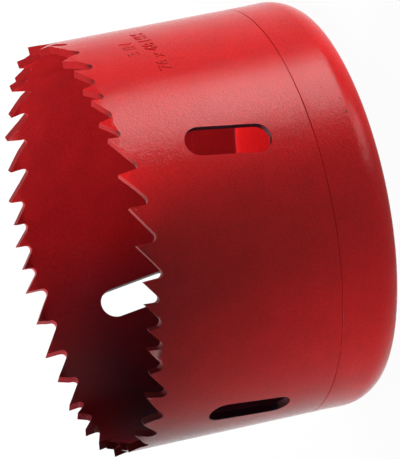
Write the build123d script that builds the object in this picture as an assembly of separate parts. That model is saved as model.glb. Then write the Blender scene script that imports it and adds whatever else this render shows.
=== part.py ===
from build123d import *

import os
from math import asin, atan2, cos, degrees, hypot, pi, radians, sin, sqrt

# A bi-metal hole saw that cuts 76 mm (3 in). Two pieces are welded edge to edge:
#   cap           drawn steel cup with a thick hub, tapped for the arbor and drilled for its pins
#   toothed_band  steel strip, toothed along one edge, slotted, and rolled into a ring
# Frame: Z is the saw's axis, z = 0 is the cap's outer face, +Z points to the teeth.
# Stations are angles in degrees about +Z from +X. Lengths are in millimetres.

# ---- Whole saw ----
BODY_RADIUS = 37.6            # outside of the band and of the cap's skirt
OVERALL_LENGTH = 48.0         # back face to tooth tips
SEAM_HEIGHT = 11.4            # where the band is welded to the cap's skirt
SEAM_CHAMFER = 0.12           # on each piece, so the weld shows as a fine groove

# ---- Cap ----
SKIRT_WALL = 1.4
FLOOR_THICKNESS = 2.0
FLOOR_CHAMFER = 1.2           # inside, between floor and skirt
CORNER_RADIUS = 1.5           # outside, the tight turn into the back face
SHOULDER_RADIUS = 6.4         # outside, the slow turn from skirt to corner
SHOULDER_HEIGHT = 4.55        # where the slow turn begins
SWELL = 0.08                  # how much fuller the drawn skirt is at the shoulder
SWELL_HEIGHT = 8.2            # where the skirt starts to swell
HUB_RISE = 3.0                # the hub stands this far above the floor
HUB_LAND = 3.6                # metal between the pin holes and the hub's rim
HUB_CHAMFER = 0.8             # round the rim of the hub

# ---- Arbor: 5/8-18 UNF thread, with holes for the arbor's drive pins ----
THREAD_MINOR_RADIUS = 7.25
THREAD_CHAMFER = 0.7
PIN_HOLE_RADIUS = 3.4
PIN_CIRCLE_RADIUS = 12.0
PIN_HOLE_COUNT = 4
PIN_HOLE_CHAMFER = 0.3

# ---- Band ----
BAND_WALL = 1.4

# ---- Slots for prising out the plug: round-ended, with the upper end leaning forward ----
SLOT_LENGTH = 15.9
SLOT_WIDTH = 5.55
SLOT_TILT = 8.35
SLOT_HEIGHT = 26.95           # centre above the back face
SLOT_STATIONS = (-90.0, -2.3, 85.3, 184.1)

# ---- Teeth: runs of fine and of coarse pitch, every other tooth set in ----
FINE_PITCH = 4.41
COARSE_PITCH = 6.59
TEETH_PER_RUN = 4
FINE_DEPTH = 2.5
COARSE_DEPTH = 3.7
GULLET_RADIUS = 0.85
TIP_LAND = 0.15
RAKE_LEAN = 1.5               # degrees: the foot of the cutting face lies ahead of the tip
SET_OUT = 0.4
SET_IN = 0.75
SET_ABOVE_GULLET = 0.15       # the bend of a set tooth lies this far above the shallowest gullet
FIRST_TOOTH = 142.7           # station of the first tooth after the strip's butt weld
WELD_GAP = 6.0                # least distance between the teeth on each side of that weld

CUT_MARGIN = 2.0              # how far a cutting tool runs past what it cuts


def turned(*edges):
    """Revolve a closed outline, drawn as radius and height, about the saw's axis."""
    outline = Curve() + list(edges)
    return revolve(make_face(Plane.XZ * outline), Axis.Z)


def on_circle(centre, radius, angle):
    """Point of a circle, at an angle in radians below the outward direction."""
    return (centre[0] + radius * cos(angle), centre[1] - radius * sin(angle))


def facing_out(station, radius, height):
    """Plane that faces outward, with X running counter-clockwise and Y up."""
    turn = radians(station)
    return Plane(
        origin=(radius * cos(turn), radius * sin(turn), height),
        x_dir=(-sin(turn), cos(turn), 0),
        z_dir=(cos(turn), sin(turn), 0),
    )


# ---- cap ----


def cap_outside():
    """Edges from the seam down the skirt, round the shoulder and corner, to the back face."""
    fullest = BODY_RADIUS + SWELL
    shoulder_centre = (fullest - SHOULDER_RADIUS, SHOULDER_HEIGHT)
    turn = asin((SHOULDER_HEIGHT - CORNER_RADIUS) / (SHOULDER_RADIUS - CORNER_RADIUS))
    meeting = on_circle(shoulder_centre, SHOULDER_RADIUS, turn)
    corner_centre = on_circle(shoulder_centre, SHOULDER_RADIUS - CORNER_RADIUS, turn)
    shoulder_start = (fullest, SHOULDER_HEIGHT)
    shoulder_middle = on_circle(shoulder_centre, SHOULDER_RADIUS, turn / 2)
    corner_middle = on_circle(corner_centre, CORNER_RADIUS, (turn + pi / 2) / 2)
    back_start = (corner_centre[0], 0)
    return [
        Polyline(
            (BODY_RADIUS - SEAM_CHAMFER, SEAM_HEIGHT),
            (BODY_RADIUS, SEAM_HEIGHT - SEAM_CHAMFER),
            (BODY_RADIUS, SWELL_HEIGHT),
            shoulder_start,
        ),
        ThreePointArc(shoulder_start, shoulder_middle, meeting),
        ThreePointArc(meeting, corner_middle, back_start),
        Line(back_start, (0, 0)),
    ]


def cap_inside():
    """Edges from the axis across the hub and floor and up the skirt to the seam."""
    inner = BODY_RADIUS - SKIRT_WALL
    hub_radius = PIN_CIRCLE_RADIUS + PIN_HOLE_RADIUS + HUB_LAND
    hub_top = FLOOR_THICKNESS + HUB_RISE
    hub_chamfer = min(HUB_CHAMFER, HUB_RISE / 2)
    return [
        Polyline(
            (0, 0),
            (0, hub_top),
            (hub_radius - hub_chamfer, hub_top),
            (hub_radius, hub_top - hub_chamfer),
            (hub_radius, FLOOR_THICKNESS),
            (inner - FLOOR_CHAMFER, FLOOR_THICKNESS),
            (inner, FLOOR_THICKNESS + FLOOR_CHAMFER),
            (inner, SEAM_HEIGHT),
            (BODY_RADIUS - SEAM_CHAMFER, SEAM_HEIGHT),
        )
    ]


def chamfered_bore(radius, chamfer):
    """Cutter for a hole through the hub, chamfered at both mouths, standing on the Z axis."""
    top = FLOOR_THICKNESS + HUB_RISE
    return turned(
        Polyline(
            (0, -CUT_MARGIN),
            (radius + chamfer, -CUT_MARGIN),
            (radius + chamfer, 0),
            (radius, chamfer),
            (radius, top - chamfer),
            (radius + chamfer, top),
            (radius + chamfer, top + CUT_MARGIN),
            (0, top + CUT_MARGIN),
            close=True,
        )
    )


def make_cap():
    """Drawn cup with its hub, the arbor's tapping-size hole and the pin holes."""
    cap = turned(*cap_outside(), *cap_inside())
    cap -= chamfered_bore(THREAD_MINOR_RADIUS, THREAD_CHAMFER)
    pin_hole = chamfered_bore(PIN_HOLE_RADIUS, PIN_HOLE_CHAMFER)
    for place in PolarLocations(PIN_CIRCLE_RADIUS, PIN_HOLE_COUNT):
        cap -= place * pin_hole
    return cap


# ---- toothed band ----


def tooth_gaps():
    """One (pitch, depth) for each gap round the band, the last being across the butt weld."""
    runs = [(FINE_PITCH, FINE_DEPTH)] * TEETH_PER_RUN
    runs += [(COARSE_PITCH, COARSE_DEPTH)] * TEETH_PER_RUN
    left = 2 * pi * BODY_RADIUS
    gaps = []
    while left - runs[len(gaps) % len(runs)][0] >= WELD_GAP:
        gaps.append(runs[len(gaps) % len(runs)])
        left -= gaps[-1][0]
    return gaps + [(left, FINE_DEPTH)]


def gullet_centre(depth):
    """Centre of the gullet's arc, measured from the tip of the tooth behind it."""
    lean = radians(RAKE_LEAN)
    up = depth - GULLET_RADIUS
    return ((GULLET_RADIUS + up * sin(lean)) / cos(lean), -up)


def gullet_cutter(pitch, depth):
    """Face of one gap: cutting face, round gullet and straight back of the next tooth."""
    lean = radians(RAKE_LEAN)
    centre = gullet_centre(depth)
    next_tip = (pitch - TIP_LAND, 0)
    reach = hypot(next_tip[0] - centre[0], centre[1])
    back = atan2(centre[1], centre[0] - next_tip[0]) + asin(GULLET_RADIUS / reach)
    tangent = sqrt(reach**2 - GULLET_RADIUS**2)
    face_foot = (centre[0] - GULLET_RADIUS * cos(lean), centre[1] - GULLET_RADIUS * sin(lean))
    back_foot = (next_tip[0] + tangent * cos(back), tangent * sin(back))
    lowest = (centre[0], -depth)
    outline = ThreePointArc(face_foot, lowest, back_foot)
    outline += Polyline(
        back_foot,
        next_tip,
        (next_tip[0], CUT_MARGIN),
        (0, CUT_MARGIN),
        (0, 0),
        face_foot,
    )
    return make_face(outline)


def set_tooth(start, end, bend):
    """Bent strip that one tooth is cut from, between two stations, leaning out by bend."""
    low = OVERALL_LENGTH - min(FINE_DEPTH, COARSE_DEPTH) + SET_ABOVE_GULLET
    inner = BODY_RADIUS - BAND_WALL
    section = make_face(
        Plane.XZ
        * Polyline(
            (inner, low),
            (BODY_RADIUS, low),
            (BODY_RADIUS + bend, OVERALL_LENGTH),
            (inner + bend, OVERALL_LENGTH),
            close=True,
        )
    )
    return revolve(Rot(0, 0, start) * section, Axis.Z, end - start)


def straight_band():
    """Rolled strip below the set of the teeth."""
    inner = BODY_RADIUS - BAND_WALL
    low = OVERALL_LENGTH - min(FINE_DEPTH, COARSE_DEPTH) + SET_ABOVE_GULLET
    return turned(
        Polyline(
            (inner, SEAM_HEIGHT),
            (BODY_RADIUS - SEAM_CHAMFER, SEAM_HEIGHT),
            (BODY_RADIUS, SEAM_HEIGHT + SEAM_CHAMFER),
            (BODY_RADIUS, low),
            (inner, low),
            close=True,
        )
    )


def slot_cutter(station):
    """Slanted slot through the wall at one station."""
    middle = facing_out(station, BODY_RADIUS - BAND_WALL / 2, SLOT_HEIGHT)
    shape = SlotOverall(SLOT_LENGTH, SLOT_WIDTH, rotation=90 - SLOT_TILT)
    return extrude(middle * shape, BAND_WALL / 2 + CUT_MARGIN, both=True)


def make_band():
    """Slotted band with its teeth set and gulleted."""
    gaps = tooth_gaps()
    per_mm = degrees(1 / BODY_RADIUS)
    stations = [FIRST_TOOTH]
    for pitch, depth in gaps:
        stations.append(stations[-1] + pitch * per_mm)
    lowest = [tip + gullet_centre(gap[1])[0] * per_mm for tip, gap in zip(stations, gaps)]
    edges = [lowest[-1] - 360] + lowest
    teeth = []
    cutters = [slot_cutter(station) for station in SLOT_STATIONS]
    for i, (pitch, depth) in enumerate(gaps):
        teeth.append(set_tooth(edges[i], edges[i + 1], -SET_IN if i % 2 else SET_OUT))
        middle = facing_out(stations[i] + pitch * per_mm / 2, BODY_RADIUS, OVERALL_LENGTH)
        face = middle * Pos(-pitch / 2, 0) * gullet_cutter(pitch, depth)
        cutters.append(extrude(face, BAND_WALL + SET_IN + CUT_MARGIN, both=True))
    return straight_band() + teeth - cutters


os.makedirs("parts", exist_ok=True)
export_step(make_cap(), "parts/cap.step")
export_step(make_band(), "parts/toothed_band.step")
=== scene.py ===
from math import cos, pi, radians, sin

import bpy
from mathutils import Matrix, Vector


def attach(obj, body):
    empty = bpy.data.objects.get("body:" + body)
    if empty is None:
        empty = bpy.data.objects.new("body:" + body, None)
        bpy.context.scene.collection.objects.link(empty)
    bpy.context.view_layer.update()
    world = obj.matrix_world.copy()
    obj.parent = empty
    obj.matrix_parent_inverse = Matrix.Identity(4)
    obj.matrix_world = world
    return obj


# The looks of an enamelled hole saw. Metres, in the part's frame: Z is the saw's axis,
# z = 0 is the back of the cap, and the teeth point up. A station is an angle about +Z from +X,
# and a turn is an angle about +Z from the camera's azimuth, both in degrees.

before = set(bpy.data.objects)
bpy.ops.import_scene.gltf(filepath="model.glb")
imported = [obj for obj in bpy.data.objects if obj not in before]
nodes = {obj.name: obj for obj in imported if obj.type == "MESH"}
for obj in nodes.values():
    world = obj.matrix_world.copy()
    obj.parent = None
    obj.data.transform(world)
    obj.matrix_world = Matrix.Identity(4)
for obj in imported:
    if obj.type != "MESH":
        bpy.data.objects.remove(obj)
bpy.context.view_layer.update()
MM = 0.001

# ---- Camera: the saw lies on its side in the picture, so the camera is rolled ----
AIM_HEIGHT = 23.747 * MM       # point of the axis that the camera looks at
DISTANCE = 891.69 * MM
AZIMUTH = -111.4               # a station
ELEVATION = 18.1
ROLL = 101.656
LENS = 384.12
SENSOR = 36.0
SHIFT = (-0.00084, -0.00979)
CLIP = (0.01, 20.0)
AIM = Vector((0, 0, AIM_HEIGHT))


def camera_axes():
    """Right, up and backward directions of the rolled camera."""
    azimuth, elevation, roll = radians(AZIMUTH), radians(ELEVATION), radians(ROLL)
    back = Vector((cos(elevation) * cos(azimuth), cos(elevation) * sin(azimuth), sin(elevation)))
    level = Vector((-sin(azimuth), cos(azimuth), 0))
    upright = back.cross(level)
    right = cos(roll) * level - sin(roll) * upright
    up = sin(roll) * level + cos(roll) * upright
    return right, up, back


def make_camera():
    right, up, back = camera_axes()
    data = bpy.data.cameras.new("camera")
    data.lens = LENS
    data.sensor_width = SENSOR
    data.shift_x, data.shift_y = SHIFT
    data.clip_start, data.clip_end = CLIP
    camera = bpy.data.objects.new("camera", data)
    turned = Matrix((right, up, back)).transposed().to_4x4()
    camera.matrix_world = Matrix.Translation(AIM + back * DISTANCE) @ turned
    bpy.context.scene.collection.objects.link(camera)
    bpy.context.scene.camera = camera


# ---- Helpers ----


def new_material(name):
    material = bpy.data.materials.new(name)
    material.use_nodes = True
    tree = material.node_tree
    tree.nodes.clear()
    return material, tree


def finish_surface(tree, shader):
    output = node(tree, "ShaderNodeOutputMaterial")
    tree.links.new(shader, output.inputs["Surface"])


def node(tree, kind, inputs=None, **settings):
    made = tree.nodes.new(kind)
    for key, value in settings.items():
        setattr(made, key, value)
    for key, value in (inputs or {}).items():
        if isinstance(value, bpy.types.NodeSocket):
            tree.links.new(value, made.inputs[key])
        else:
            made.inputs[key].default_value = value
    return made


def math(tree, operation, a, b=0.0):
    return node(tree, "ShaderNodeMath", {0: a, 1: b}, operation=operation).outputs[0]


def vector_math(tree, operation, a, b=(0, 0, 0)):
    return node(tree, "ShaderNodeVectorMath", {0: a, 1: b}, operation=operation).outputs


def ramp(tree, value, low, high, to_low=0.0, to_high=1.0):
    inputs = {"Value": value, "From Min": low, "From Max": high, "To Min": to_low, "To Max": to_high}
    return node(tree, "ShaderNodeMapRange", inputs, clamp=True).outputs[0]


def blend(tree, factor, a, b):
    return node(tree, "ShaderNodeMix", {0: factor, 6: a, 7: b}, data_type="RGBA").outputs[2]


def mesh_object(name, points, faces):
    mesh = bpy.data.meshes.new(name)
    mesh.from_pydata(points, [], faces)
    made = bpy.data.objects.new(name, mesh)
    bpy.context.scene.collection.objects.link(made)
    return made


# ---- Enamel ----
BODY_RADIUS = 37.6 * MM
# Dark spots at the gullets, and pits in the paint on the cap: station, height and radius in
# millimetres.
DARK_SPOTS = (
    (-45.0, 45.1, 0.85),
    (-54.6, 45.0, 0.85),
    (-68.6, 46.1, 0.70),
    (-82.0, 46.0, 0.70),
    (-80.3, 9.3, 0.15),
    (-80.6, 4.2, 0.15),
    (-84.6, 4.6, 0.20),
    (-88.9, 4.3, 0.26),
    (-94.6, 4.4, 0.17),
)
SPOT_RIM = (0.6, 1.1)           # shares of its radius between which a spot fades into the paint
PEEL_SIZE = 0.9 * MM
PEEL_DEPTH = 0.02 * MM
GRAIN_SIZE = 0.30 * MM
GRAIN_DEPTH = 0.055 * MM
CLOUD_SIZE = 5.5 * MM
NOISE_ROUGHNESS = 0.55
WIDE = (0.3, 0.7)              # spans of a noise's values that are stretched to the full range
NARROW = (0.35, 0.65)
SPECKLE = (0.84, 1.06)         # how much darker or lighter the grain makes the paint
OUTER_RED = (0.62, 0.0095, 0.0115, 1)
OUTER_DARK = (0.57, 0.0088, 0.0105, 1)
# The inside's enamel is a darker copy of the outside's: painted shade in the cup.
SHADED_INNER_RED = (0.21, 0.0052, 0.0064, 1)
SHADED_INNER_DARK = (0.18, 0.0044, 0.0058, 1)
# Near-black: painted shade deep in the cup, and the slots' cut edges.
NEAR_BLACK = (0.010, 0.011, 0.019, 1)
# The colour of the dark spots and pits.
SPOT_BLACK = (0.012, 0.004, 0.004, 1)
ROUGHNESS = (0.10, 0.15)
INNER_ROUGHER = 0.25
IOR = 1.5
SPECULAR_LEVEL = 0.10
# Where a face belongs is read from the dot product of its normal and the outward direction.
INNER_FACES = (0.6, 0.2)       # from outside faces to those of the inside and the teeth's edges
EDGE_FACES = (0.25, 0.6)       # from faces edgewise to the wall to faces along it
FLOOR_PAINT = 20 * MM          # below this height, level faces belong to the cap's floor
SLOT_PAINT = (16 * MM, 39 * MM)   # the slots lie between these heights
SLOT_DARKNESS = 0.85               # how far the slots' cut edges go near-black
# Painted shade on the inside: near-black on one side, and more so deeper in.
SHADE_STATION = 150.0
SHADE_SIDE = (0.1, 0.95)        # dot products of the outward direction and that side
SHADE_BREAK = 0.08              # how far the clouds shift that border
SHADE_HEIGHT = (46 * MM, 36 * MM)
SHADE_SHARE = (0.4, 0.95)       # at those heights


def dark_spots(tree, where):
    """1 inside a dark spot or pit, 0 elsewhere, with a soft rim."""
    found = 0.0
    for station, height, radius in DARK_SPOTS:
        turn = radians(station)
        centre = (BODY_RADIUS * cos(turn), BODY_RADIUS * sin(turn), height * MM)
        away = vector_math(tree, "DISTANCE", where, centre)["Value"]
        rim = [share * radius * MM for share in SPOT_RIM]
        found = math(tree, "MAXIMUM", found, ramp(tree, away, *rim, 1.0, 0.0))
    return found


def face_masks(tree, outward, height):
    """Two masks: the inside of the wall with the teeth's edges, and the slots' cut edges."""
    facing = node(tree, "ShaderNodeNewGeometry").outputs["Normal"]
    across = vector_math(tree, "DOT_PRODUCT", facing, outward)["Value"]
    level = math(tree, "ABSOLUTE", node(tree, "ShaderNodeSeparateXYZ", {0: facing}).outputs["Z"])
    low_down = ramp(tree, height, FLOOR_PAINT, FLOOR_PAINT + MM, 2.0, 0.0)
    on_floor = math(tree, "MULTIPLY", level, low_down)
    inside = ramp(tree, math(tree, "ADD", across, on_floor), *INNER_FACES)
    edgewise = ramp(tree, math(tree, "ABSOLUTE", across), *EDGE_FACES, 1.0, 0.0)
    bottom, top = SLOT_PAINT
    above = ramp(tree, height, bottom, bottom + MM)
    below = ramp(tree, height, top, top + MM, 1.0, 0.0)
    slot_edge = math(tree, "MULTIPLY", edgewise, math(tree, "MULTIPLY", above, below))
    return inside, slot_edge


def painted_inner_shade(tree, outward, height, cloud):
    """Share of painted shade on the inside: most on one side, and deep in the mouth."""
    turn = radians(SHADE_STATION)
    near = vector_math(tree, "DOT_PRODUCT", outward, (cos(turn), sin(turn), 0))["Value"]
    shift = ramp(tree, cloud, *WIDE, -SHADE_BREAK, SHADE_BREAK)
    side = ramp(tree, math(tree, "ADD", near, shift), *SHADE_SIDE)
    return math(tree, "MULTIPLY", side, ramp(tree, height, *SHADE_HEIGHT, *SHADE_SHARE))


def noise(tree, where, size, detail):
    inputs = {"Vector": where, "Scale": 1 / size, "Detail": detail, "Roughness": NOISE_ROUGHNESS}
    return node(tree, "ShaderNodeTexNoise", inputs).outputs["Fac"]


def enamel(name):
    """Red enamel with orange peel, fine grain, a few pits and dark spots, and painted shade inside the
    cup.
    """
    material, tree = new_material(name)
    where = node(tree, "ShaderNodeTexCoord").outputs["Object"]
    height = node(tree, "ShaderNodeSeparateXYZ", {0: where}).outputs["Z"]
    flat = vector_math(tree, "MULTIPLY", where, (1, 1, 0))[0]
    outward = vector_math(tree, "NORMALIZE", flat)[0]
    peel = noise(tree, where, PEEL_SIZE, 1.0)
    grain = noise(tree, where, GRAIN_SIZE, 2.0)
    cloud = noise(tree, where, CLOUD_SIZE, 2.0)

    inside, slot_edge = face_masks(tree, outward, height)
    patches = ramp(tree, cloud, *NARROW)
    outer = blend(tree, patches, OUTER_DARK, OUTER_RED)
    inner = blend(tree, patches, SHADED_INNER_DARK, SHADED_INNER_RED)
    # Painted shade: the inside goes near-black on one side, and deeper in.
    shaded = blend(tree, painted_inner_shade(tree, outward, height, cloud), inner, NEAR_BLACK)
    # The inside, the cap's floor and the teeth's edges take the darker copy: painted shade.
    walls = blend(tree, inside, outer, shaded)
    # The slots' cut edges go near-black.
    even = blend(tree, math(tree, "MULTIPLY", slot_edge, SLOT_DARKNESS), walls, NEAR_BLACK)
    speckle = {"Value": ramp(tree, grain, *NARROW, *SPECKLE), "Color": even}
    paint = node(tree, "ShaderNodeHueSaturation", speckle).outputs[0]

    gloss = ramp(tree, peel, *WIDE, *ROUGHNESS)
    rougher = math(tree, "MULTIPLY", inside, INNER_ROUGHER)
    peeled = node(tree, "ShaderNodeBump", {"Height": peel, "Strength": 1.0, "Distance": PEEL_DEPTH})
    grained = node(
        tree, "ShaderNodeBump",
        {"Height": grain, "Strength": 1.0, "Distance": GRAIN_DEPTH, "Normal": peeled.outputs["Normal"]},
    )
    shader = node(
        tree, "ShaderNodeBsdfPrincipled",
        {
            "Base Color": blend(tree, dark_spots(tree, where), paint, SPOT_BLACK),
            "Roughness": math(tree, "ADD", gloss, rougher),
            "Normal": grained.outputs["Normal"],
            "IOR": IOR,
            "Specular IOR Level": SPECULAR_LEVEL,
        },
    )
    finish_surface(tree, shader.outputs[0])
    return material


# ---- Stage ----
WHITE = (1, 1, 1, 1)
WORLD_LIGHT = 0.03
FLOOR_SIZE = 6.0
FLOOR_LEVEL = -0.02 * MM       # clear of the cap's back
FLOOR_WHITE = 0.96             # the rest of its look is the shadow
FLOOR_PALE = (0.8, 0.8, 0.8, 1)
# Each lamp: its turn and elevation, how far it stands from the saw, its width and height, and its
# power in watts.
LAMPS = (
    ("key", 65.0, -20.0, 0.8, (0.44, 0.20), 5.8),
    ("underlight", 38.0, -44.0, 0.8, (0.30, 0.30), 3.0),
    ("side", -70.0, 12.0, 0.8, (0.40, 0.30), 4.7),
    ("inner", -60.0, 50.0, 0.6, (0.34, 0.34), 9.5),
    ("fill", -104.0, 20.0, 0.8, (0.40, 0.40), 2.2),
    ("back_left", -158.0, 34.0, 0.8, (0.40, 0.40), 5.0),
    ("back_right", 150.0, 40.0, 0.8, (0.40, 0.40), 4.5),
)
# The mirror images of these would glare on the backs of the near teeth.
MATT_LAMPS = ("inner", "fill", "back_left", "back_right")
# Black cards that neither the camera nor the gloss sees, in millimetres. Each stands square to a
# turn, at a distance from the axis, and spans a width across that turn and a height.
CARDS = (
    ("card_front", 60.0, 62.0, (-110.0, -32.5), (-60.0, 100.0)),
    ("card_below", -70.0, 82.0, (-24.0, -3.0), (15.0, 64.0)),
)
CARD_BLACK = (0.01, 0.01, 0.01, 1)
# One more lies over the mouth's rim and keeps the inner lamp off the outside of the saw.
LID_HEIGHT = 62.0
LID_TURN = -60.0
LID_FROM = 27.0
LID_REACH = 160.0


def white_background(tree):
    """1 for rays that should meet the white background: camera, mirror and see-through rays."""
    paths = node(tree, "ShaderNodeLightPath").outputs
    mirrored = math(tree, "MAXIMUM", paths["Is Glossy Ray"], paths["Is Transmission Ray"])
    return math(tree, "MAXIMUM", paths["Is Camera Ray"], mirrored)


def make_world():
    world = bpy.data.worlds.new("studio")
    bpy.context.scene.world = world
    world.use_nodes = True
    tree = world.node_tree
    tree.nodes.clear()
    dim = node(tree, "ShaderNodeBackground", {"Color": WHITE, "Strength": WORLD_LIGHT}).outputs[0]
    white = node(tree, "ShaderNodeBackground", {"Color": WHITE, "Strength": 1.0}).outputs[0]
    mixed = node(tree, "ShaderNodeMixShader", {0: white_background(tree), 1: dim, 2: white}).outputs[0]
    output = node(tree, "ShaderNodeOutputWorld")
    tree.links.new(mixed, output.inputs["Surface"])


def make_floor():
    """Pale floor, open to view from underneath so that the cap's back can be seen."""
    material, tree = new_material("pale_floor")
    plain = node(tree, "ShaderNodeBsdfDiffuse", {"Color": FLOOR_PALE}).outputs[0]
    white = node(tree, "ShaderNodeEmission", {"Color": WHITE, "Strength": 1.0}).outputs[0]
    share = math(tree, "MULTIPLY", white_background(tree), FLOOR_WHITE)
    topside = node(tree, "ShaderNodeMixShader", {0: share, 1: plain, 2: white}).outputs[0]
    clear = node(tree, "ShaderNodeBsdfTransparent").outputs[0]
    underneath = node(tree, "ShaderNodeNewGeometry").outputs["Backfacing"]
    mixed = node(tree, "ShaderNodeMixShader", {0: underneath, 1: topside, 2: clear}).outputs[0]
    finish_surface(tree, mixed)
    half, level = FLOOR_SIZE, FLOOR_LEVEL
    corners = [(-half, -half, level), (half, -half, level), (half, half, level), (-half, half, level)]
    floor = mesh_object("floor", corners, [(0, 1, 2, 3)])
    floor.data.materials.append(material)
    floor.visible_shadow = False       # the key light stands lower than the floor
    floor.visible_diffuse = False
    floor.visible_glossy = False


def level_axes(turn):
    """Outward and sideways directions at a turn."""
    bearing = radians(AZIMUTH + turn)
    return Vector((cos(bearing), sin(bearing), 0)), Vector((-sin(bearing), cos(bearing), 0))


def card(name, corners):
    material, tree = new_material(name)
    finish_surface(tree, node(tree, "ShaderNodeBsdfDiffuse", {"Color": CARD_BLACK}).outputs[0])
    made = mesh_object(name, [corner * MM for corner in corners], [(0, 1, 2, 3)])
    made.data.materials.append(material)
    made.visible_camera = False
    made.visible_transmission = False
    made.visible_glossy = False


def make_cards():
    for name, turn, distance, (left, right), (bottom, top) in CARDS:
        out, along = level_axes(turn)
        outline = ((left, bottom), (right, bottom), (right, top), (left, top))
        card(name, [out * distance + along * x + Vector((0, 0, z)) for x, z in outline])
    out, along = level_axes(LID_TURN)
    outline = (
        (LID_FROM, -LID_REACH), (LID_FROM, LID_REACH), (LID_REACH, LID_REACH), (LID_REACH, -LID_REACH),
    )
    lid = Vector((0, 0, LID_HEIGHT))
    card("card_lid", [lid + out * reach + along * side for reach, side in outline])


def softbox(name, turn, elevation, distance, size, power):
    bearing, rise = radians(AZIMUTH + turn), radians(elevation)
    towards = Vector((cos(rise) * cos(bearing), cos(rise) * sin(bearing), sin(rise)))
    data = bpy.data.lights.new(name, "AREA")
    data.shape = "RECTANGLE"
    data.size, data.size_y = size
    data.energy = power
    lamp = bpy.data.objects.new(name, data)
    lamp.location = AIM + towards * distance
    lamp.rotation_euler = towards.to_track_quat("Z", "Y").to_euler()
    lamp.visible_camera = False
    lamp.visible_glossy = name not in MATT_LAMPS
    bpy.context.scene.collection.objects.link(lamp)


# ---- Rounded edges ----
WELD_REACH = 0.002 * MM
FLAT_ANGLE = 0.2               # degrees between faces that are merged
EDGE_ANGLE = 50.0              # degrees between faces from which an edge is rounded
EDGE_ROUND = 0.14 * MM
EDGE_SEGMENTS = 2
NORMAL_WEIGHT = 50             # how much the larger faces rule the shading of the rounds


def round_edges(part):
    """Paint never leaves a sharp edge: join the mesh up and round its edges a little."""
    weld = part.modifiers.new("join", "WELD")
    weld.merge_threshold = WELD_REACH
    plane = part.modifiers.new("merge_flats", "DECIMATE")
    plane.decimate_type = "DISSOLVE"
    plane.angle_limit = radians(FLAT_ANGLE)
    bevel = part.modifiers.new("round", "BEVEL")
    bevel.width = EDGE_ROUND
    bevel.segments = EDGE_SEGMENTS
    bevel.limit_method = "ANGLE"
    bevel.angle_limit = radians(EDGE_ANGLE)
    bevel.harden_normals = False
    bevel.use_clamp_overlap = True
    smooth = part.modifiers.new("smooth", "WEIGHTED_NORMAL")
    smooth.keep_sharp = False
    smooth.weight = NORMAL_WEIGHT
    part.data.shade_smooth()


# ---- Arbor thread, 5/8-18 UNF ----
THREAD_PITCH = 25.4 / 18 * MM
THREAD_MAJOR = 7.9375 * MM
THREAD_START = 7.05 * MM       # the cutter reaches in past the bore's wall, at 7.25 mm
THREAD_ROOT = THREAD_PITCH / 8
THREAD_SLOPE = 0.57735         # tangent of the half angle, 30 degrees
THREAD_STEPS = 72              # to one turn
THREAD_LOW, THREAD_HIGH = -1.2 * MM, 6.2 * MM


def thread_cutter():
    """Helical ridge that cuts the grooves of a right-hand internal thread."""
    half_root = THREAD_ROOT / 2
    half_mouth = half_root + (THREAD_MAJOR - THREAD_START) * THREAD_SLOPE
    section = (
        (THREAD_START, -half_mouth),
        (THREAD_MAJOR, -half_root),
        (THREAD_MAJOR, half_root),
        (THREAD_START, half_mouth),
    )
    count = int((THREAD_HIGH - THREAD_LOW) / THREAD_PITCH * THREAD_STEPS)
    points, faces = [], []
    for step in range(count + 1):
        turn = step / THREAD_STEPS * 2 * pi
        rise = THREAD_LOW + step / THREAD_STEPS * THREAD_PITCH
        for radius, offset in section:
            points.append((radius * cos(turn), radius * sin(turn), rise + offset))
    for step in range(count):
        for k in range(4):
            a, b = 4 * step + k, 4 * step + (k + 1) % 4
            faces.append((a, a + 4, b + 4, b))
    faces.append((0, 1, 2, 3))
    faces.append(tuple(4 * count + k for k in (3, 2, 1, 0)))
    cutter = mesh_object("thread_cutter", points, faces)
    cutter.hide_render = True
    return cutter


def cut_thread(part):
    cut = part.modifiers.new("thread", "BOOLEAN")
    cut.operation = "DIFFERENCE"
    cut.solver = "EXACT"
    cut.object = thread_cutter()


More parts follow.
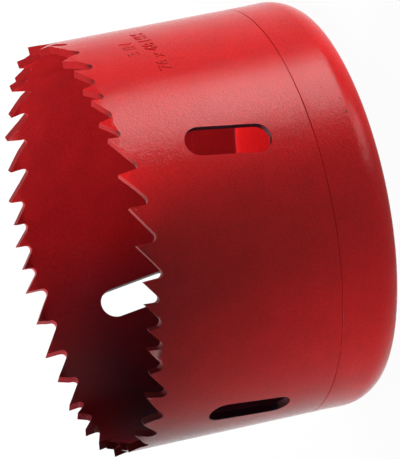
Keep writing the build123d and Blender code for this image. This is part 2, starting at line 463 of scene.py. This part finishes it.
# ---- Size marks, standing a little proud of the band ----
# Each row: its text, and the station and height in millimetres of its middle.
MARKS = (("3 IN", -49.4, 35.7), ("76 x 48 MM", -50.9, 32.0))
MARK_HEIGHT = 2.3 * MM         # of a capital
CAPITAL_SHARE = 0.7            # height of a capital in a font of size 1
MARK_ROUND = 0.22 * MM         # how far a stroke's flanks slope
MARK_ROUND_STEPS = 3
MARK_THIN = 0.17 * MM          # taken off the font's strokes before their flanks are added
MARK_SQUASH = 0.6              # height of the flanks for their width
MARK_CURVE_STEPS = 3


def mark_mesh(text):
    """A row of characters, lying flat with rounded flanks."""
    curve = bpy.data.curves.new("mark", "FONT")
    curve.body = text
    curve.size = MARK_HEIGHT / CAPITAL_SHARE
    curve.align_x, curve.align_y = "CENTER", "CENTER"
    curve.bevel_depth = MARK_ROUND
    curve.bevel_resolution = MARK_ROUND_STEPS
    curve.offset = -MARK_THIN
    curve.resolution_u = MARK_CURVE_STEPS
    letters = bpy.data.objects.new("mark", curve)
    bpy.context.scene.collection.objects.link(letters)
    bpy.context.view_layer.update()
    evaluated = letters.evaluated_get(bpy.context.evaluated_depsgraph_get())
    mesh = bpy.data.meshes.new_from_object(evaluated)
    bpy.data.objects.remove(letters)
    return mesh


def size_marks():
    """Both rows of characters, wrapped round the band and joined as one mesh."""
    points, faces = [], []
    for text, station, height in MARKS:
        mesh = mark_mesh(text)
        first = len(points)
        for vertex in mesh.vertices:
            turn = radians(station) + vertex.co.x / BODY_RADIUS
            radius = BODY_RADIUS + MARK_SQUASH * vertex.co.z
            points.append((radius * cos(turn), radius * sin(turn), height * MM + vertex.co.y))
        faces += [tuple(first + corner for corner in face.vertices) for face in mesh.polygons]
    marks = mesh_object("size_marks", points, faces)
    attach(marks, "root")
    return marks


# ---- Scene ----
bpy.context.scene.view_settings.view_transform = "Standard"
make_camera()
make_world()
make_floor()
make_cards()
for lamp in LAMPS:
    softbox(*lamp)

red = enamel("red_enamel")
for name in ("cap", "toothed_band"):
    round_edges(nodes[name])
    nodes[name].data.materials.clear()
    nodes[name].data.materials.append(red)
cut_thread(nodes["cap"])
size_marks().data.materials.append(red)
